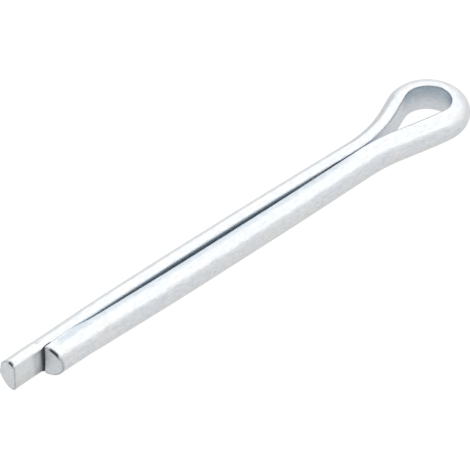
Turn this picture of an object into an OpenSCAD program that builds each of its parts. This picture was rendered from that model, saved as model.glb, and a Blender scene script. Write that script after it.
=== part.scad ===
/* [Wire] */
// Diameter of the wire's round back
shank_d = 4.6; // [3.6:0.1:6.4]
// Depth of the wire from its flat face to its round back
wire_depth = 2.38; // [1.8:0.02:3.2]
// Radius that rounds the two edges of the wire's flat face
edge_r = 0.6; // [0.2:0.05:0.8]

/* [Legs] */
// Length from the end of the short leg to the throat of the eye
shank_len = 46.9; // [30:0.5:90]
// How much further the long leg reaches
long_leg_extra = 4.4; // [1:0.1:8]
// Clearance between the flat faces where the legs lie together
leg_clearance = 0.08; // [0.06:0.02:0.3]
// How far the long leg's flat face bows outwards
long_leg_bow = 0.21; // [0.05:0.01:0.6]
// Where the long leg bows furthest, as a share of its length from the short leg's end to the throat
long_bow_at = 0.5; // [0.35:0.05:0.65]
// How far the short leg's flat face bows outwards
short_leg_bow = 0.19; // [0.05:0.01:0.6]
// Where the short leg bows furthest, as a share of its length between nip and throat
short_bow_at = 0.45; // [0.35:0.05:0.65]
// Length of the nip, the straight stretch where the legs lie together at the short leg's end
nip_len = 4.2; // [2:0.2:8]
// Angle in degrees that the nip leans over towards the short leg, from the end of the long leg's bow
nip_lean = 1; // [0.3:0.1:3]
// Length of the short bends at the nip and at the throat
bow_lead = 0.8; // [0.4:0.1:1.6]
// Slant in degrees of the short leg's sheared end, whose round back falls short
short_end_slant = 22; // [0:1:30]
// Slant in degrees of the long leg's sheared end, whose round back reaches further
long_end_slant = 8; // [0:1:20]
// Radius that breaks the rim of both sheared ends
rim_r = 0.15; // [0.05:0.05:0.25]

/* [Eye] */
// Angle in degrees at which the long leg's arm swings out of the throat
long_arm_angle = 26; // [18:0.5:29]
// Angle in degrees at which the short leg's arm swings out of the throat
short_arm_angle = 11.4; // [6:0.2:13.4]
// Bend radius of the flat face at the throat, on the long leg's side
long_throat_r = 18; // [9:0.5:19]
// Bend radius of the flat face at the throat, on the short leg's side
short_throat_r = 22; // [10:1:30]
// Straight length of the short leg's arm
short_arm_len = 6.7; // [5:0.1:9]
// Inner radius of the eye's shoulder, next to the long leg's arm
shoulder_r = 2.8; // [2.5:0.1:3.6]
// Angle in degrees that the shoulder turns through
shoulder_angle = 48.5; // [35:0.5:60]
// Inner radius of the eye's crown
crown_r = 3.4; // [2.8:0.1:4]
// Angle in degrees that the crown turns through
crown_angle = 41; // [30:1:60]
// Inner radius of the tight bend into the short leg's arm
heel_r = 2.15; // [1.8:0.05:2.6]

/* [Hidden] */
bend_step = 7.5;
run_step = 4;
corner_sides = 5;
back_sides = 24;

wire_r = shank_d / 2;
back_out = wire_depth - wire_r;

// A stretch of the wire is [radius, angle]: a left bend has a positive angle, a right bend a
// negative one, and a straight has an angle of 0 and its length in place of the radius.
function ahead(s) = s[1] == 0 ? s[0] : s[0] * sin(abs(s[1]));
function aside(s) = s[1] == 0 ? 0 : sign(s[1]) * s[0] * (1 - cos(s[1]));
function share(s, f) = f == 0 ? [0, 0] : s[1] == 0 ? [s[0] * f, 0] : [s[0], s[1] * f];
function run(s) = s[1] == 0 ? s[0] : s[0] * abs(s[1]) * PI / 180;
function steps(s) = max(ceil(abs(s[1]) / bend_step), ceil(run(s) / run_step));

// Place after a stretch, and after the first n stretches of a path, as [x, y, heading]
function after(p, s) = [
    p[0] + ahead(s) * cos(p[2]) - aside(s) * sin(p[2]),
    p[1] + ahead(s) * sin(p[2]) + aside(s) * cos(p[2]),
    p[2] + s[1]
];
function place(path, n, start) = n == 0 ? start : after(place(path, n - 1, start), path[n - 1]);

// The eye, from the long leg's throat to the short leg's. The long arm's straight length is
// what brings the short leg back beside the long one.
heel_angle = 180 + long_arm_angle + short_arm_angle - shoulder_angle - crown_angle;
long_throat = [long_throat_r, long_arm_angle];
ring = [
    [shoulder_r, -shoulder_angle],
    [crown_r, -crown_angle],
    [heel_r, -heel_angle],
    [short_arm_len, 0],
    [short_throat_r, short_arm_angle]
];
open_eye = concat([long_throat], ring);
open_end = place(open_eye, len(open_eye), [0, leg_clearance / 2, 0]);
long_arm_len = -(open_end[1] + leg_clearance / 2) / sin(long_arm_angle);
eye = concat([long_throat, [long_arm_len, 0]], ring);
long_throat_x = shank_len - open_end[0] - long_arm_len * cos(long_arm_angle);

// A leg's bow is two arcs that meet at its highest point, and short bends join it to throat and nip
function bow_angle(span, rise) = 2 * atan(rise / span);
function tight(angle) = [bow_lead / sin(abs(angle)), angle];
function flank(span, angle) = [span / sin(angle), -angle];

long_rise = long_throat_x * long_bow_at - nip_len;
long_fall = long_throat_x * (1 - long_bow_at);
long_tilt = bow_angle(long_rise, long_leg_bow);
long_angle = bow_angle(long_fall, long_leg_bow);
long_tip = [[long_leg_extra + nip_len - bow_lead, 0], tight(-nip_lean)];
long_bow = [flank(long_rise, long_tilt), flank(long_fall - bow_lead, long_angle), tight(long_angle)];
long_leg = concat(long_tip, long_bow);

// The wire starts at the long leg's tip, found by going back along it from the end of the nip
back = place([tight(nip_lean), long_tip[0]], 2, [nip_len, leg_clearance / 2, long_tilt + 180]);
tip = [back[0], back[1], back[2] - 180];

// The short leg's bow ends in a bend that lays its nip parallel to the long leg's
short_rise = (shank_len - nip_len) * (1 - short_bow_at);
short_fall = (shank_len - nip_len) * short_bow_at;
short_angle = bow_angle(short_rise, short_leg_bow);
short_tilt = bow_angle(short_fall, short_leg_bow);
short_leg = [
    tight(short_angle),
    flank(short_rise - bow_lead, short_angle),
    flank(short_fall - bow_lead, short_tilt),
    tight(short_tilt + long_tilt + nip_lean),
    [nip_len, 0]
];
wire = concat(long_leg, eye, short_leg);
stations = [
    for (i = [0 : len(wire) - 1], k = [0 : steps(wire[i]) - 1])
        after(place(wire, i, tip), share(wire[i], k / steps(wire[i]))),
    place(wire, len(wire), tip)
];

// Half-round section of the wire as [out, up] points, drawn in by inset all round: the flat face
// stands upright, and arcs of radius edge_r round its two edges into the round back.
function half_round(inset) =
    let (
        back_r = wire_r - inset,
        corner_r = max(edge_r - inset, edge_r / 3),
        out = inset + corner_r,
        up = sqrt(pow(back_r - corner_r, 2) - pow(out - back_out, 2)),
        lean = atan2(up, out - back_out),
        corner = [
            for (k = [0 : corner_sides - 1])
                let (a = 180 + (lean - 180) * k / corner_sides)
                    [out + corner_r * cos(a), up + corner_r * sin(a)]
        ],
        back = [
            for (k = [0 : back_sides])
                let (a = lean * (1 - 2 * k / back_sides)) [back_out + back_r * cos(a), back_r * sin(a)]
        ]
    )
    concat(corner, back, [for (k = [corner_sides - 1 : -1 : 0]) [corner[k][0], -corner[k][1]]]);

// A section set across the wire at place p, moved along it by reach and slanted across its depth
function ring_at(p, section, reach = 0, slant = 0) = [
    for (q = section)
        let (along = reach - tan(slant) * q[0])
            [p[0] + along * cos(p[2]) - q[0] * sin(p[2]), p[1] + along * sin(p[2]) + q[0] * cos(p[2]), q[1]]
];
full = half_round(0);
rim = half_round(rim_r);
first = stations[0];
last = stations[len(stations) - 1];
rings = concat(
    [ring_at(first, rim, 0, long_end_slant), ring_at(first, full, rim_r, long_end_slant)],
    [for (i = [1 : len(stations) - 2]) ring_at(stations[i], full)],
    [ring_at(last, full, -rim_r, short_end_slant), ring_at(last, rim, 0, short_end_slant)]
);
points = [for (r = rings) each r];
sides = len(full);
walls = [
    for (i = [0 : len(rings) - 2], j = [0 : sides - 1])
        let (a = i * sides + j, b = i * sides + (j + 1) % sides) [a, a + sides, b + sides, b]
];
caps = [
    [for (j = [0 : sides - 1]) j],
    [for (j = [sides - 1 : -1 : 0]) len(points) - sides + j]
];

// The pin lies on its side, with its lowest line at z = 0 and its box centred on the z axis
function middle(axis) = (max([for (p = points) p[axis]]) + min([for (p = points) p[axis]])) / 2;
rest_z = -min([for (q = full) q[1]]);

module cotter_pin() {
    color("gainsboro")
        translate([-middle(0), -middle(1), rest_z])
            polyhedron(points = points, faces = concat(walls, caps));
}
cotter_pin();
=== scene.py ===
# Split pin of half-round wire, zinc plated, lying on a white table
import math
import bpy
import numpy as np
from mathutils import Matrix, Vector


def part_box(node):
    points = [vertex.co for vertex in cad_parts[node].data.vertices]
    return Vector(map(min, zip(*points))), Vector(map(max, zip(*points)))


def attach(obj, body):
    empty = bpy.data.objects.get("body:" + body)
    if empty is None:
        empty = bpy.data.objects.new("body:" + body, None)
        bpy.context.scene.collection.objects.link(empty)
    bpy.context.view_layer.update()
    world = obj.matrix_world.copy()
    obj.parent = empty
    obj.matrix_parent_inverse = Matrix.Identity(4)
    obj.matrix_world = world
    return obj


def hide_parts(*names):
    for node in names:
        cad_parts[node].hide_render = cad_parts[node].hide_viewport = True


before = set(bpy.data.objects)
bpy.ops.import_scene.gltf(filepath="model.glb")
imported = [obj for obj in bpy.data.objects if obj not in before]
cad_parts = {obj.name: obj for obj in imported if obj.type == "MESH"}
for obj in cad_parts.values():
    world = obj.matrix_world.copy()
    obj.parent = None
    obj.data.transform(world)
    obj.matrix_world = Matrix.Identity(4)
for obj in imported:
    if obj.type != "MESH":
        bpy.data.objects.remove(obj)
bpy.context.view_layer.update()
mm = 0.001
low, high = (np.array(corner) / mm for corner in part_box("cotter_pin"))
halfHeight = (high[2] - low[2]) / 2     # of the wire as it lies

# Sizes in mm and degrees. The wire's path is the solid's. Its edges and both sheared ends are shaped more
# finely here, the short leg's end is drawn out further, and the flats lie closer at the nip.
pin = {
    "wireRadius": 2.3, "wireDepth": 2.38, "legClearance": 0.08,
    "shankLength": 46.9, "longLegExtra": 4.4, "nipLength": 4.2, "bowLead": 0.8,
    "longLegBow": 0.21, "longBowAt": 0.5, "shortLegBow": 0.19, "shortBowAt": 0.45,
    "nipLean": 1.0,
    "longArmAngle": 26.0, "shortArmAngle": 11.4,
    "longThroatRadius": 18.0, "shortThroatRadius": 22.0, "shortArmLength": 6.7,
    "shoulderRadius": 2.8, "shoulderAngle": 48.5,
    "crownRadius": 3.4, "crownAngle": 41.0, "heelRadius": 2.15,

    # rounding of the flat's edges, and the angle of the crease that each ends in
    "longLegEdge": 0.8, "shortLegEdge": 0.64, "legEdgeAngle": 25.0,
    "nipEdgeRadius": 0.09, "armEdgeRadius": 0.2, "ringEdgeRadius": 0.45,
    "eyeEdgeAngle": 8.0, "tipEdgeRadius": 0.14, "tipEdgeAngle": 5.0,
    "tipReach": (0.3, 1.3),                 # from the short leg's end to where its own edges are back
    "bentFrom": (0.1, 0.3),                 # curvatures in 1/mm between which the wire counts as bent,
    "ringFrom": (0.15, 0.3),                # and as part of the eye's ring
    "bendMaskReach": 5.0, "ringMaskReach": 3.0,     # lengths over which those two are evened out

    # how far each flat is pushed inwards at the nip, and where that fades: in shares of the nip's length
    # towards the throat, and in mm on the long leg past the short leg's end
    "nipSqueeze": 0.065, "nipFade": (0.7, 1.6), "nipBefore": (-1, 0),
    "flatNormal": (-0.5, -0.95),            # outward part of the normal, over which the flat begins

    # the sheared ends
    "longEndSlant": 6.0, "shortEndSlant": 17.0, "slantReach": 3.0,
    "longRim": 0.07, "shortRim": 0.10,      # rounding of the rims over the wire's back
    "flatRimShare": 0.35,                   # how much of that rounding is left at the flat face
    "rimGrows": (0.2, 1.2),                 # and how far out from the flat it is whole
    "tipTaper": 0.04, "taperReach": 5.0,
    "shortEndBurr": 0.3, "shortEndLean": 0.16, "shortLeanHeight": (0.3, -1.8),
    "longEndLean": 0.32, "longLeanNone": 5.6, "longLeanWhole": -2.0,    # heights where it is none and whole
    "longEndBulge": 0.36, "bulgeReach": 5, "bulgeHeight": (0.2, -1.2), "bulgeOut": (0.1, 1.0),
    "faceMiddle": 0.45,                     # middle of the sheared faces, as a share of the wire's radius
    "faceRoughness": 0.006,                 # unevenness of the sheared faces

    "stationStep": 0.16,                    # spacing of the sections along the wire
    "bendSoftening": 0.5,                   # length over which a bend sets in
    "keystone": 0.16,                       # how much the outside of a bend thins, for 1/mm of curvature
    "waveHeight": 0.008,                    # height of the longest of the slow waves along the wire
}


def bend(radius, angle):
    return (radius * math.radians(abs(angle)), math.copysign(1 / radius, angle))


def bowAngle(span, rise):
    return 2 * math.degrees(math.atan(rise / span))


def tightBend(angle):
    return bend(pin["bowLead"] / math.sin(math.radians(abs(angle))), angle)


def flank(span, angle):
    # half of a leg's bow, between a free end or a bend and the bow's highest point
    return bend(span / math.sin(math.radians(angle)), -angle)


def endOfPath(stretches, x, y, heading=0.0):
    # exact end of a chain of arcs and straights, each a (length, curvature) pair
    for length, curvature in stretches:
        turn = length * curvature
        ahead = math.sin(turn) / curvature if curvature else length
        aside = (1 - math.cos(turn)) / curvature if curvature else 0.0
        x += ahead * math.cos(heading) - aside * math.sin(heading)
        y += ahead * math.sin(heading) + aside * math.cos(heading)
        heading += turn
    return x, y, heading


def wireStretches():
    # the whole wire from the long leg's tip, round the eye, to the short leg's tip, and where it starts
    longArm, shortArm = pin["longArmAngle"], pin["shortArmAngle"]
    heelAngle = 180 + longArm + shortArm - pin["shoulderAngle"] - pin["crownAngle"]
    throat = [bend(pin["longThroatRadius"], longArm)]
    ring = [bend(pin["shoulderRadius"], -pin["shoulderAngle"]), bend(pin["crownRadius"], -pin["crownAngle"]),
            bend(pin["heelRadius"], -heelAngle), (pin["shortArmLength"], 0.0),
            bend(pin["shortThroatRadius"], shortArm)]
    half = pin["legClearance"] / 2
    endX, endY, heading = endOfPath(throat + ring, 0, half)
    armLength = -(endY + half) / math.sin(math.radians(longArm))
    longThroatX = pin["shankLength"] - endX - armLength * math.cos(math.radians(longArm))
    nip, bowLead, lean = pin["nipLength"], pin["bowLead"], pin["nipLean"]

    # each leg is a bow between the throat and the nip, where both lean over side by side
    falling, rising = longThroatX * (1 - pin["longBowAt"]), longThroatX * pin["longBowAt"] - nip
    tilt, angle = bowAngle(rising, pin["longLegBow"]), bowAngle(falling, pin["longLegBow"])
    tip = [(pin["longLegExtra"] + nip - bowLead, 0.0), tightBend(-lean)]
    longLeg = tip + [flank(rising, tilt), flank(falling - bowLead, angle), tightBend(angle)]
    back = [(length, -curvature) for length, curvature in tip[::-1]]
    startX, startY, heading = endOfPath(back, nip, half, math.radians(tilt) + math.pi)

    span = pin["shankLength"] - nip
    rising, falling = span * (1 - pin["shortBowAt"]), span * pin["shortBowAt"]
    angle, turned = bowAngle(rising, pin["shortLegBow"]), bowAngle(falling, pin["shortLegBow"])
    shortLeg = [tightBend(angle), flank(rising - bowLead, angle), flank(falling - bowLead, turned),
                tightBend(turned + tilt + lean), (nip, 0.0)]
    return longLeg + throat + [(armLength, 0.0)] + ring + shortLeg, (startX, startY, heading - math.pi)


def wirePath():
    # heading is the turning of all stretches so far, averaged over the length in which a bend sets in,
    # and place is the running sum of its cosine and sine
    stretches, (startX, startY, startHeading) = wireStretches()
    lengths, curvatures = np.array(stretches).T
    knots = np.concatenate([[0], np.cumsum(lengths)])
    turned = np.concatenate([[0], np.cumsum(lengths * curvatures)])
    fine = 16       # steps from one section to the next
    s = np.linspace(0, knots[-1], int(round(knots[-1] / pin["stationStep"])) * fine + 1)
    step = s[1] - s[0]
    half = int(pin["bendSoftening"] / step / 2)
    window = np.hanning(2 * half + 3)[1:-1]
    heading = np.pad(startHeading + np.interp(s, knots, turned), half, mode="edge")
    heading = np.convolve(heading, window / window.sum(), mode="valid")
    inBetween = (heading[1:] + heading[:-1]) / 2
    x = startX + np.concatenate([[0], np.cumsum(np.cos(inBetween) * step)])
    y = startY + np.concatenate([[0], np.cumsum(np.sin(inBetween) * step)])
    return tuple(a[::fine] for a in (s, x, y, heading, np.gradient(heading, step)))


def smooth(edge0, edge1, value):
    t = np.clip((value - edge0) / (edge1 - edge0), 0, 1)
    return t * t * (3 - 2 * t)


def eased(values, reach):
    # the average along the wire over a window of this length
    window = np.hanning(2 * int(reach / pin["stationStep"] / 2) + 3)[1:-1]
    padded = np.pad(values, len(window) // 2, mode="edge")
    return np.convolve(padded, window / window.sum(), mode="valid")


def blend(value, target, share):
    return value + (target - value) * share


def halfRound(edge, creaseAngle, thinning):
    # section (out, up) and its normals for each station: an arc from the crease at the flat's upper edge,
    # the round back, the lower edge's arc, then the flat. Every input is a column, one value a station.
    corner, backSides, flatSides = 10, 52, 16
    back, backOut = pin["wireRadius"], pin["wireDepth"] - pin["wireRadius"]
    out = edge * np.cos(creaseAngle)
    up = np.sqrt((back - edge) ** 2 - (out - backOut) ** 2)
    lean = np.arctan2(up, out - backOut)
    start = np.pi - creaseAngle
    a = start + (lean - start) * np.arange(corner) / corner
    b = lean * np.linspace(1, -1, backSides + 1)
    flat = np.sin(np.linspace(-np.pi / 2, np.pi / 2, flatSides + 1))[1:-1] + 0 * lean
    cornerU, cornerZ = out + edge * np.cos(a), up + edge * np.sin(a)
    u = np.concatenate([cornerU, backOut + back * np.cos(b), cornerU[:, ::-1], 0 * flat], 1)
    z = np.concatenate([cornerZ, back * np.sin(b), -cornerZ[:, ::-1], cornerZ[:, :1] * flat], 1)
    nu = np.concatenate([np.cos(a), np.cos(b), np.cos(a)[:, ::-1], 0 * flat - 1], 1)
    nz = np.concatenate([np.sin(a), np.sin(b), -np.sin(a)[:, ::-1], 0 * flat], 1)
    z *= halfHeight / (up + edge) * (1 - thinning * np.maximum(u, 0))
    return u, z, nu, nz


def unevenness(s, columns):
    # the sum of a few slow waves along the wire and round it, with fixed random phases, never above 0
    longest, seed = 17, 12
    rng = np.random.default_rng(seed)
    around = np.arange(columns) / columns
    waves = 0
    for length, turns in ((longest, 1), (9.5, 2), (5.2, 2), (3.1, 3), (2.2, 5)):
        phase = rng.uniform(0, 2 * np.pi, 2)
        waves = waves + (length / longest) ** 0.5 * np.outer(
            np.sin(2 * np.pi * s / length + phase[0]), np.cos(2 * np.pi * turns * around + phase[1]))
    return (waves - waves.max()) * pin["waveHeight"]


def edgesAlongWire(s, curvature):
    # at each station the rounding of the flat's edges and the angle of their crease, how closed the legs
    # are, and how far the station is on the ring of the eye
    total = s[-1]
    onLongLeg = s < total / 2
    bent = eased(smooth(*pin["bentFrom"], np.abs(curvature)), pin["bendMaskReach"])
    ring = eased(smooth(*pin["ringFrom"], -curvature), pin["ringMaskReach"])
    squashed = 1 - smooth(*pin["tipReach"], total - s)
    fromShortEnd = np.where(onLongLeg, s - pin["longLegExtra"], total - s)
    nipFade = pin["nipLength"] * np.array(pin["nipFade"])
    closed = (1 - smooth(*nipFade, fromShortEnd)) * smooth(*pin["nipBefore"], fromShortEnd)
    edge = np.where(onLongLeg, pin["longLegEdge"], pin["shortLegEdge"])
    for key, share in (("nip", closed), ("arm", bent), ("ring", ring), ("tip", squashed)):
        edge = blend(edge, pin[key + "EdgeRadius"], share)
    crease = blend(blend(pin["legEdgeAngle"], pin["eyeEdgeAngle"], bent), pin["tipEdgeAngle"], squashed)
    return edge, crease, closed, ring


def surfaceRows(count):
    # rows of the surface: centre to rim of one face, its rounding, the wire, and the same back again. Each
    # has its station, its scale on the face, and the angle that it has turned through round the rim. The
    # rows at each end stand in for the first few stations.
    rim, faceRings, skip = 6, 9, 2
    quarter = np.linspace(0, np.pi / 2, rim + 1)[:-1]
    grow = np.arange(1, faceRings + 1) / (faceRings + 1)
    body = np.arange(skip, count - skip)
    side = [0 * grow, 0 * quarter]
    atEnd = len(grow) + rim
    station = np.concatenate(side + [body] + side).astype(int)
    station[-atEnd:] = count - 1
    scale = np.concatenate([grow, quarter * 0 + 1, body * 0 + 1, quarter * 0 + 1, grow[::-1]])[:, None]
    turn = np.concatenate([grow * 0, quarter, body * 0 + np.pi / 2, quarter[::-1], grow * 0])[:, None]
    row = np.arange(len(station))[:, None]
    return station, scale, turn, row < atEnd, row >= len(station) - atEnd


def roundRims(u, z, nu, nz, scale, turn, radius):
    # the section shrunk by the rim's quarter circle, then towards the middle of the face, and how far each
    # point lies inside the end, with a slight waviness on the face that dies out at the rim
    share = pin["flatRimShare"] + (1 - pin["flatRimShare"]) * smooth(*pin["rimGrows"], u)
    local = radius * share
    ahead = local * (1 - np.cos(turn))
    inset = local * (1 - np.sin(turn))
    u, z = u - inset * nu, z - inset * nz
    middle = pin["wireRadius"] * pin["faceMiddle"]
    u = middle + (u - middle) * scale
    z = z * scale
    second = 0.6    # size of the second wave beside the first
    waves = np.sin(u * 3.1 + 1) * np.cos(z * 2.3 + u) + second * np.sin(z * 5.3 + u * 2 + 2)
    ahead = ahead + (scale < 1) * (1 - scale ** 6) * pin["faceRoughness"] * (waves + (1 + second))
    return u, z, ahead


def shearEnds(u, z, toStart, toEnd):
    # how far along the wire the slant and the lean of the two ends move each point, and the bulge of the
    # long leg's lower side
    nearLongEnd = 1 - smooth(0, pin["slantReach"], toStart)
    nearShortEnd = 1 - smooth(0, pin["slantReach"], toEnd)
    longSlope = math.tan(math.radians(pin["longEndSlant"]))
    shortSlope = math.tan(math.radians(pin["shortEndSlant"]))
    bulge = pin["longEndBulge"] * (1 - smooth(0, pin["bulgeReach"], toStart))
    bulge = bulge * smooth(*pin["bulgeHeight"], z)
    u = u + bulge * smooth(*pin["bulgeOut"], u)
    lower = smooth(*pin["shortLeanHeight"], z)
    lean = np.clip((pin["longLeanNone"] - z) / (pin["longLeanNone"] - pin["longLeanWhole"]), 0, 1)
    drawn = nearShortEnd * (pin["shortEndBurr"] + pin["shortEndLean"] * lower)
    drawn = drawn - nearLongEnd * (pin["longEndLean"] - longSlope * u) * lean
    slant = longSlope * nearLongEnd + shortSlope * nearShortEnd
    return u, slant, drawn


def finishMasks(u, z, toStart, toEnd, scale):
    # The slit's flats, which get a painted shade, the lip beside the slit, and the dark places at the ends:
    # dark lines along the upper rims, a fainter line round each rim that is painted shade, and a band of
    # painted shade across the long leg's flat in the corner beside the short leg's end. Values are in mm,
    # and a pair is the span over which a mask grows or fades.
    mask = {"slitStart": (2.5, 4.5), "slitEnd": (43, 47), "slitOut": (0.02, 0.12),
            "lipStart": (0.5, 2), "lipEnd": (42, 47), "lipInner": (0.02, 0.15), "lipOuter": (0.55, 1.1),
            "rimDarkStart": 0.03, "rimDarkWidth": 0.27, "longRimDarkShare": 0.45, "rimDarkHeight": (0.2, 0.6),
            "longRimDarkInner": (0.1, 0.3), "longRimDarkOuter": (0.7, 1.1),
            "shortRimDarkInner": (0.45, 0.7), "shortRimDarkOuter": (1.5, 1.9),
            "rimShade": 0.32, "rimLine": (0.02, 0.14), "endReach": 2,
            "rimDarkFace": 0.88, "rimFace": 0.95,      # scale on the face from which the lines are drawn
            "bandShift": 0.25, "bandSoft": 0.58, "bandSoftAt": (2.4, 1.7), "bandDark": 0.42,
            "bandDarkAt": (1.5, 1.25), "bandEnd": (-0.5, -0.2), "bandOut": (0.0, 0.04)}

    def grow(key, value):
        return smooth(*mask[key], value)

    def fade(key, value):
        return 1 - smooth(*mask[key], value)

    # the slit's flats, whose tone is painted shade
    slit = grow("slitStart", toStart - pin["longLegExtra"]) * fade("slitEnd", toStart) * fade("slitOut", u)
    lip = grow("lipStart", toEnd) * fade("lipEnd", toEnd) * (z > 0)
    lip = lip * grow("lipInner", u) * fade("lipOuter", u)

    atStart = toStart < mask["endReach"]
    fromFace = np.where(atStart, toStart, toEnd) + 0 * u
    longLine = grow("longRimDarkInner", u) * fade("longRimDarkOuter", u)
    shortLine = grow("shortRimDarkInner", u) * fade("shortRimDarkOuter", u)
    upper = np.where(atStart, longLine, shortLine) * grow("rimDarkHeight", z)
    width = mask["rimDarkWidth"] * np.where(atStart, mask["longRimDarkShare"], 1)
    darkRimsAndShade = (1 - smooth(mask["rimDarkStart"], width, fromFace)) * upper * (scale > mask["rimDarkFace"])
    # painted shade: a fainter dark line round each end's rim
    rimLine = mask["rimShade"] * fade("rimLine", fromFace) * (scale > mask["rimFace"])
    # painted shade: a dark band across the long leg's flat, in the corner beside the short leg's end
    before = pin["longLegExtra"] + mask["bandShift"] - toStart
    shadeBand = grow("bandSoftAt", before) * mask["bandSoft"] + grow("bandDarkAt", before) * mask["bandDark"]
    shadeBand = shadeBand * grow("bandEnd", before) * fade("bandOut", u)
    return slit, lip, np.maximum(np.maximum(darkRimsAndShade, rimLine), shadeBand)


def pinSurface():
    # the half-round section at each station, carried along the wire's path and closed by a face at each end
    s, x, y, heading, curvature = wirePath()
    total = s[-1]
    edge, crease, closed, ring = edgesAlongWire(s, curvature)
    thinning = pin["keystone"] * eased(np.maximum(-curvature, 0), pin["bendMaskReach"])
    taper = 1 - pin["tipTaper"] * (1 - smooth(0, pin["taperReach"], total - s))[:, None]
    u, z, nu, nz = halfRound(edge[:, None], np.radians(crease)[:, None], thinning[:, None])
    height = unevenness(s, u.shape[1])
    u, z = (u + height * nu) * taper, z + height * nz
    u = u - pin["nipSqueeze"] * closed[:, None] * smooth(*pin["flatNormal"], nu)

    station, scale, turn, first, last = surfaceRows(len(s))
    toStart, toEnd = s[station][:, None], total - s[station][:, None]
    rimRadius = first * pin["longRim"] + last * pin["shortRim"]
    u, z, ahead = roundRims(u[station], z[station], nu[station], nz[station], scale, turn, rimRadius)
    u, slant, drawn = shearEnds(u, z, toStart, toEnd)
    along = (first.astype(float) - last) * ahead - slant * u + drawn

    h = heading[station][:, None]
    px = x[station][:, None] + along * np.cos(h) - u * np.sin(h)
    py = y[station][:, None] + along * np.sin(h) + u * np.cos(h)
    points = np.stack([px, py, z + halfHeight], -1)
    wire = np.stack([toStart + along, u, z], -1)
    sheared = np.clip(1 - np.where(first | last, turn / (np.pi / 2), 1), 0, 1) + 0 * u
    slit, lip, darkRimsAndShade = finishMasks(u, z, toStart, toEnd, scale)
    marks = np.stack([slit, lip, ring[station][:, None] + 0 * u], -1)
    return points, wire, sheared, darkRimsAndShade, marks, total


def gridFaces(rows, columns):
    # quads of a closed band of rows, and fans to the two centre points that close it
    i, j = np.meshgrid(np.arange(rows - 1), np.arange(columns), indexing="ij")
    a, b = i * columns + j, i * columns + (j + 1) % columns
    quads = np.stack([a, b, b + columns, a + columns], -1).reshape(-1, 4)
    k = np.arange(columns)
    base = (rows - 1) * columns
    startFan = np.stack([k * 0 + rows * columns, (k + 1) % columns, k], -1)
    endFan = np.stack([k * 0 + rows * columns + 1, base + k, base + (k + 1) % columns], -1)
    return quads, np.concatenate([startFan, endFan])


def addAttribute(mesh, name, kind, values):
    layer = mesh.attributes.new(name, kind, "POINT")
    field = "vector" if kind == "FLOAT_VECTOR" else "value"
    layer.data.foreach_set(field, values.astype(np.float32).ravel())


def makePin():
    points, wire, sheared, darkRimsAndShade, marks, total = pinSurface()
    rows, columns = points.shape[:2]
    flat = points.reshape(-1, 3)
    ends = np.stack([points[0].mean(0), points[-1].mean(0)])
    shift = (low + high) / 2 - (flat.max(0) + flat.min(0)) / 2
    shift[2] = low[2]
    verts = (np.concatenate([flat, ends]) + shift) * mm
    quads, fans = gridFaces(rows, columns)

    mesh = bpy.data.meshes.new("split_pin")
    mesh.vertices.add(len(verts))
    mesh.vertices.foreach_set("co", verts.astype(np.float32).ravel())
    mesh.loops.add(quads.size + fans.size)
    mesh.loops.foreach_set("vertex_index", np.concatenate([quads.ravel(), fans.ravel()]).astype(np.int32))
    mesh.polygons.add(len(quads) + len(fans))
    starts = np.concatenate([np.arange(len(quads)) * 4, quads.size + np.arange(len(fans)) * 3])
    mesh.polygons.foreach_set("loop_start", starts.astype(np.int32))
    mesh.update(calc_edges=True)
    mesh.validate()
    mesh.polygons.foreach_set("use_smooth", np.ones(len(mesh.polygons), bool))

    def withCentres(values):
        # the values of all rows, and after them those of the two centre points
        values = values.reshape((rows, columns, -1))
        centres = [values[0].mean(0)[None], values[-1].mean(0)[None]]
        return np.concatenate([values.reshape(rows * columns, -1)] + centres)

    addAttribute(mesh, "wire", "FLOAT_VECTOR", withCentres(wire))
    addAttribute(mesh, "sheared", "FLOAT", withCentres(sheared))
    addAttribute(mesh, "marks", "FLOAT_VECTOR", withCentres(marks))
    addAttribute(mesh, "darkRimsAndShade", "FLOAT", withCentres(darkRimsAndShade))
    obj = bpy.data.objects.new("split_pin", mesh)
    bpy.context.scene.collection.objects.link(obj)
    print("pin:", len(verts), "points,", len(mesh.polygons), "faces,", round(total, 2), "mm of wire")
    return obj


def placeCamera():
    # mm and degrees, apart from the near and far clip in m
    view = {"elevation": 48.0, "axisAngle": 40.24, "distance": 331.5, "lens": 222.1, "sensor": 36,
            "target": (-1.46, -0.3, 2.217), "clip": (0.01, 20)}
    e, a = math.radians(view["elevation"]), math.radians(view["axisAngle"])
    away = Vector((math.sin(a) * math.cos(e), math.cos(a) * math.cos(e), -math.sin(e)))
    data = bpy.data.cameras.new("camera")
    data.lens, data.sensor_width = view["lens"], view["sensor"]
    data.clip_start, data.clip_end = view["clip"]
    camera = bpy.data.objects.new("camera", data)
    camera.location = (Vector(view["target"]) - away * view["distance"]) * mm
    camera.rotation_euler = away.to_track_quat("-Z", "Y").to_euler()
    bpy.context.scene.collection.objects.link(camera)
    bpy.context.scene.camera = camera


def nodeTree(owner):
    owner.use_nodes = True
    tree = owner.node_tree
    tree.nodes.clear()
    return tree


def add(tree, kind, **values):
    # a node with its settings, given by attribute name, and its inputs, given as in_Name or in_number
    node = tree.nodes.new(kind)
    for key, value in values.items():
        if key.startswith("in_"):
            name = key[3:].replace("_", " ")
            socket = node.inputs[int(name)] if name.isdigit() else node.inputs[name]
            if isinstance(value, bpy.types.NodeSocket):
                tree.links.new(value, socket)
            else:
                socket.default_value = value
        else:
            setattr(node, key, value)
    return node


def maths(tree, operation, a, b=0.0):
    return add(tree, "ShaderNodeMath", operation=operation, in_0=a, in_1=b).outputs[0]


def times(tree, *values):
    # the product of all the values, from the first to the last
    product = values[0]
    for value in values[1:]:
        product = maths(tree, "MULTIPLY", product, value)
    return product


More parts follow.
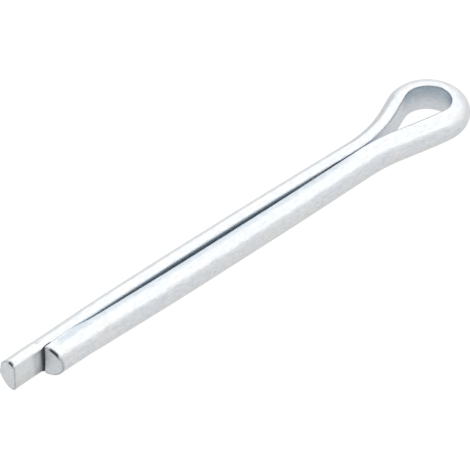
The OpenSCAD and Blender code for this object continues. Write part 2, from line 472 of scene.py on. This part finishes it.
def ramp(tree, value, low, high, toLow=0.0, toHigh=1.0):
    return add(tree, "ShaderNodeMapRange", interpolation_type="SMOOTHSTEP", in_Value=value,
               in_1=low, in_2=high, in_3=toLow, in_4=toHigh).outputs[0]


def dot(tree, a, b):
    return add(tree, "ShaderNodeVectorMath", operation="DOT_PRODUCT", in_0=a, in_1=b).outputs["Value"]


def mix(tree, share, a, b):
    return add(tree, "ShaderNodeMix", in_Factor=share, in_2=a, in_3=b).outputs[0]


def mixColour(tree, share, a, b):
    return add(tree, "ShaderNodeMix", data_type="RGBA", in_Factor=share, in_6=a, in_7=b).outputs[2]


def lightStudio():
    # a white tent: an even light for what is matt and, in reflections, a bright roof over a duller foot
    # and a duller opening on one side
    light = {"fill": 1.0, "footNear": 0.84, "footFar": 0.92, "footReach": 0.8,
             "roof": 1.2, "roofFrom": 0.08, "roofTo": 0.42, "roofTilt": 7.4,
             "openingAzimuth": 185.0, "openingHalfWidth": 20.0, "openingSides": (1.15, 0.85),
             "openingLow": 8.0, "openingHigh": 42.0, "openingBlur": 0.03, "openingLevel": 0.8}

    def sine(key):
        return math.sin(math.radians(light[key]))

    world = bpy.data.worlds.new("tent")
    bpy.context.scene.world = world
    tree = nodeTree(world)
    path = add(tree, "ShaderNodeLightPath")
    direction = add(tree, "ShaderNodeTexCoord").outputs["Generated"]
    parts = add(tree, "ShaderNodeSeparateXYZ", in_0=direction)
    foot = ramp(tree, parts.outputs["Y"], -light["footReach"], light["footReach"],
                light["footNear"], light["footFar"])
    lifted = dot(tree, direction, (0, sine("roofTilt"), 1))
    roofShare = ramp(tree, lifted, light["roofFrom"], light["roofTo"])
    tent = mix(tree, roofShare, foot, light["roof"])

    azimuth, blur = math.radians(light["openingAzimuth"]), light["openingBlur"]
    level = add(tree, "ShaderNodeCombineXYZ", in_X=parts.outputs["X"], in_Y=parts.outputs["Y"]).outputs[0]
    level = add(tree, "ShaderNodeVectorMath", operation="NORMALIZE", in_0=level).outputs[0]
    halfWidth = math.radians(light["openingHalfWidth"])
    inside = ramp(tree, dot(tree, level, (math.cos(azimuth), math.sin(azimuth), 0)),
                  *(math.cos(halfWidth * side) for side in light["openingSides"]))
    above = ramp(tree, parts.outputs["Z"], sine("openingLow") - blur, sine("openingLow") + blur)
    below = ramp(tree, parts.outputs["Z"], sine("openingHigh") + blur, sine("openingHigh") - blur)
    tent = mix(tree, times(tree, inside, above, below), tent, light["openingLevel"])
    strength = mix(tree, path.outputs["Is Glossy Ray"], light["fill"], tent)
    background = add(tree, "ShaderNodeBackground", in_Color=(1, 1, 1, 1), in_Strength=strength)
    output = add(tree, "ShaderNodeOutputWorld")
    tree.links.new(background.outputs[0], output.inputs["Surface"])


def makeFloor():
    # A pale table, in m. The camera sees it at one level, and metal reflects it at a duller one, which runs
    # from near to far across the pin.
    table = {"halfSize": 1.5, "sunk": 0.00002, "colour": 0.17, "glowToCamera": 0.91,
             "glowNear": 0.63, "glowFar": 0.67, "glowReach": 0.012}
    h = table["halfSize"]
    mesh = bpy.data.meshes.new("table")
    mesh.from_pydata([(-h, -h, 0), (h, -h, 0), (h, h, 0), (-h, h, 0)], [], [(0, 1, 2, 3)])
    floor = bpy.data.objects.new("table", mesh)
    floor.location.z = -table["sunk"]
    bpy.context.scene.collection.objects.link(floor)
    material = bpy.data.materials.new("white_table")
    tree = nodeTree(material)
    path = add(tree, "ShaderNodeLightPath")
    c = table["colour"]
    diffuse = add(tree, "ShaderNodeBsdfDiffuse", in_Color=(c, c, c, 1))
    place = add(tree, "ShaderNodeSeparateXYZ", in_0=add(tree, "ShaderNodeTexCoord").outputs["Object"])
    reach = table["glowReach"]
    reflected = ramp(tree, place.outputs["Y"], -reach, reach, table["glowNear"], table["glowFar"])
    glow = mix(tree, path.outputs["Is Glossy Ray"], 0.0, reflected)
    glow = mix(tree, path.outputs["Is Camera Ray"], glow, table["glowToCamera"])
    emission = add(tree, "ShaderNodeEmission", in_Color=(1, 1, 1, 1), in_Strength=glow)
    both = add(tree, "ShaderNodeAddShader")
    tree.links.new(diffuse.outputs[0], both.inputs[0])
    tree.links.new(emission.outputs[0], both.inputs[1])
    output = add(tree, "ShaderNodeOutputMaterial")
    tree.links.new(both.outputs[0], output.inputs["Surface"])
    mesh.materials.append(material)


def noise(tree, place, stretch, detail=2.0, roughness=0.5):
    # noise from 0 to 1 whose grain is 1/stretch mm long along the wire, out from its flat and up
    place = add(tree, "ShaderNodeVectorMath", operation="MULTIPLY", in_0=place, in_1=stretch).outputs[0]
    return add(tree, "ShaderNodeTexNoise", in_Vector=place, in_Scale=1.0, in_Detail=detail,
               in_Roughness=roughness).outputs[0]


def around(tree, value, amount):
    # a factor that swings round 1 with noise
    return maths(tree, "ADD", times(tree, value, amount), 1 - amount / 2)


def zincColour(tree, wire, marks, sheared, darkRimsAndShade):
    # Bright zinc with slow tints, blotches, drawn streaks and a few dark specks, a darker bluish tone on the
    # lip beside the slit, its own tone on the sheared faces, and dark lines along the ends' upper rims.
    # Painted shade darkens the wire's lower half, the slit (less towards its top), the walls inside the eye,
    # the outside of the arms, a fainter line round each end's rim and a band beside the short leg's end. A
    # noise is (stretch, detail, roughness). A span is where a tone grows, in a noise or in mm along the
    # wire, out from its flat or up from its middle, and two further numbers are the levels that it runs
    # between.
    zinc = {"colour": (0.825, 0.85, 0.87, 1),
            "cool": (0.80, 0.835, 0.875, 1), "warm": (0.845, 0.84, 0.825, 1),
            "slow": ((0.35, 0.5, 0.5), 3.0, 0.6), "tint": 0.8,
            "coolSpan": (0.42, 0.62), "warmSpan": (0.46, 0.3),
            # painted shade: darker and greyer on the wire's lower half
            "low": (0.755, 0.755, 0.757, 1), "lowUp": (0.5, -1.3),
            "streaks": ((0.25, 7, 7), 3.0, 0.6), "streakAmount": 0.12,
            "blotches": ((1.4, 3.0, 3.0), 4.0, 0.65), "blotchAmount": 0.5,
            "lip": (0.61, 0.67, 0.72, 1), "lipSpan": (0.3, 0.6, 0.55, 1.0),
            # painted shade in the slit between the legs, lighter towards its top
            "slitShade": (0.26, 0.335, 0.40, 1), "slitShadeTop": (0.64, 0.74, 0.82, 1), "slitShadeTopUp": (1.35, 1.85),
            # the sheared faces' own tone, and one dark tone for the lines along the ends' upper rims and for
            # the painted shade of the rim lines and the band beside the short leg's end
            "face": (0.755, 0.785, 0.81, 1), "darkRimsAndShade": (0.014, 0.023, 0.038, 1),
            # painted shade on the flats inside the eye, and more of it on the upper part of the eye's inner
            # walls
            "eyeWallShade": (0.78, 0.81, 0.85, 1), "innerAlong": (40, 46), "flatOut": (0.12, 0.02),
            "eye": (0.42, 0.50, 0.56, 1), "eyeUp": (-1.6, 1.9),
            "eyeNoise": ((0.5, 1, 2.5), 4.0, 0.7), "eyeSpan": (0.3, 0.6, 0.7, 1.1),
            # painted shade on the outside of the eye's arms
            "armStart": (46, 52), "armEnd": (65, 59), "armOut": (0.9, 1.6, 0.0, 0.2),
            "speck": (0.58, 0.56, 0.53, 1), "speckNoise": ((2.2, 3.5, 3.5), 3.0), "speckSpan": (0.62, 0.75),
            "speckUp": (0.9, 0.3), "speckOut": (0.2, 0.5)}
    parts = add(tree, "ShaderNodeSeparateXYZ", in_0=wire)
    along, out, up = (parts.outputs[axis] for axis in "XYZ")
    slit, lip, ring = (marks.outputs[axis] for axis in "XYZ")

    def noisy(key):
        return noise(tree, wire, *zinc[key])

    def span(value, key):
        return ramp(tree, value, *zinc[key])

    slow, streaks = noisy("slow"), noisy("streaks")
    cool = times(tree, span(slow, "coolSpan"), zinc["tint"])
    warm = times(tree, span(slow, "warmSpan"), zinc["tint"])
    slitShade = mixColour(tree, span(up, "slitShadeTopUp"), zinc["slitShade"], zinc["slitShadeTop"])
    onFlat = span(out, "flatOut")
    # painted shade on the walls inside the eye: darker towards their top, and on all the flats from the
    # throat on
    shadedUpperWall = times(tree, span(up, "eyeUp"), span(noisy("eyeNoise"), "eyeSpan"))
    eye = times(tree, times(tree, ring, onFlat), shadedUpperWall)
    eyeWallShade = times(tree, onFlat, span(along, "innerAlong"))
    specks = times(tree, span(noisy("speckNoise"), "speckSpan"), span(up, "speckUp"), span(out, "speckOut"))

    colour = zinc["colour"]
    for share, tone in ((cool, zinc["cool"]), (warm, zinc["warm"]), (span(up, "lowUp"), zinc["low"]),
                        (times(tree, lip, span(streaks, "lipSpan")), zinc["lip"]), (slit, slitShade),
                        (sheared, zinc["face"]), (eyeWallShade, zinc["eyeWallShade"]), (eye, zinc["eye"]),
                        (specks, zinc["speck"]), (darkRimsAndShade, zinc["darkRimsAndShade"])):
        colour = mixColour(tree, share, colour, tone)

    # painted shade: the outside of the eye's arms darkened by up to a fifth
    arm = times(tree, span(along, "armStart"), span(along, "armEnd"), span(out, "armOut"))
    shade = times(tree, around(tree, noisy("blotches"), zinc["blotchAmount"]),
                  around(tree, streaks, zinc["streakAmount"]), maths(tree, "SUBTRACT", 1.0, arm))
    return add(tree, "ShaderNodeVectorMath", operation="SCALE", in_0=colour, in_Scale=shade).outputs[0]


def zincPlate():
    finish = {"roughness": 0.15, "uneven": 0.12, "unevenNoise": ((0.8, 2, 2), 3.0),
              "bendRoughness": 0.2, "flatRoughness": 0.30, "flatOut": (0.2, 0.02), "faceRoughness": 0.42,
              "slitDullness": 0.7, "darkRimsAndShadeMetallic": 0.2,
              "drawn": 0.006, "drawnNoise": ((0.4, 9, 9), 3.0, 0.6),
              "grain": 0.015, "grainNoise": ((2.2, 5, 5), 4.0, 0.6)}
    material = bpy.data.materials.new("zinc_plated_steel")
    tree = nodeTree(material)

    def attribute(name, output):
        return add(tree, "ShaderNodeAttribute", attribute_name=name).outputs[output]

    def noisy(key, amount):
        return times(tree, noise(tree, wire, *finish[key]), finish[amount])

    wire = attribute("wire", "Vector")
    marks = add(tree, "ShaderNodeSeparateXYZ", in_0=attribute("marks", "Vector"))
    sheared, darkRimsAndShade = attribute("sheared", "Fac"), attribute("darkRimsAndShade", "Fac")
    out = add(tree, "ShaderNodeSeparateXYZ", in_0=wire).outputs["Y"]

    least = finish["roughness"] - finish["uneven"] / 2
    roughness = maths(tree, "ADD", noisy("unevenNoise", "uneven"), least)
    roughness = maths(tree, "ADD", roughness, times(tree, marks.outputs["Z"], finish["bendRoughness"]))
    roughness = mix(tree, ramp(tree, out, *finish["flatOut"]), roughness, finish["flatRoughness"])
    roughness = mix(tree, sheared, roughness, finish["faceRoughness"])
    # the slit's painted shade is also made less metallic
    metallic = maths(tree, "SUBTRACT", 1.0, times(tree, marks.outputs["X"], finish["slitDullness"]))
    metallic = mix(tree, darkRimsAndShade, metallic, finish["darkRimsAndShadeMetallic"])
    height = maths(tree, "ADD", noisy("drawnNoise", "drawn"), noisy("grainNoise", "grain"))
    bump = add(tree, "ShaderNodeBump", in_Strength=1.0, in_Distance=mm, in_Height=height)
    colour = zincColour(tree, wire, marks, sheared, darkRimsAndShade)
    metal = add(tree, "ShaderNodeBsdfPrincipled", in_Base_Color=colour, in_Metallic=metallic,
                in_Roughness=roughness, in_Normal=bump.outputs[0])
    output = add(tree, "ShaderNodeOutputMaterial")
    tree.links.new(metal.outputs[0], output.inputs["Surface"])
    return material


bpy.context.scene.view_settings.view_transform = "Standard"
placeCamera()
lightStudio()
makeFloor()
print("studio: camera, tent and table")
splitPin = makePin()
splitPin.data.materials.append(zincPlate())
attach(splitPin, "root")
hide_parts("cotter_pin")
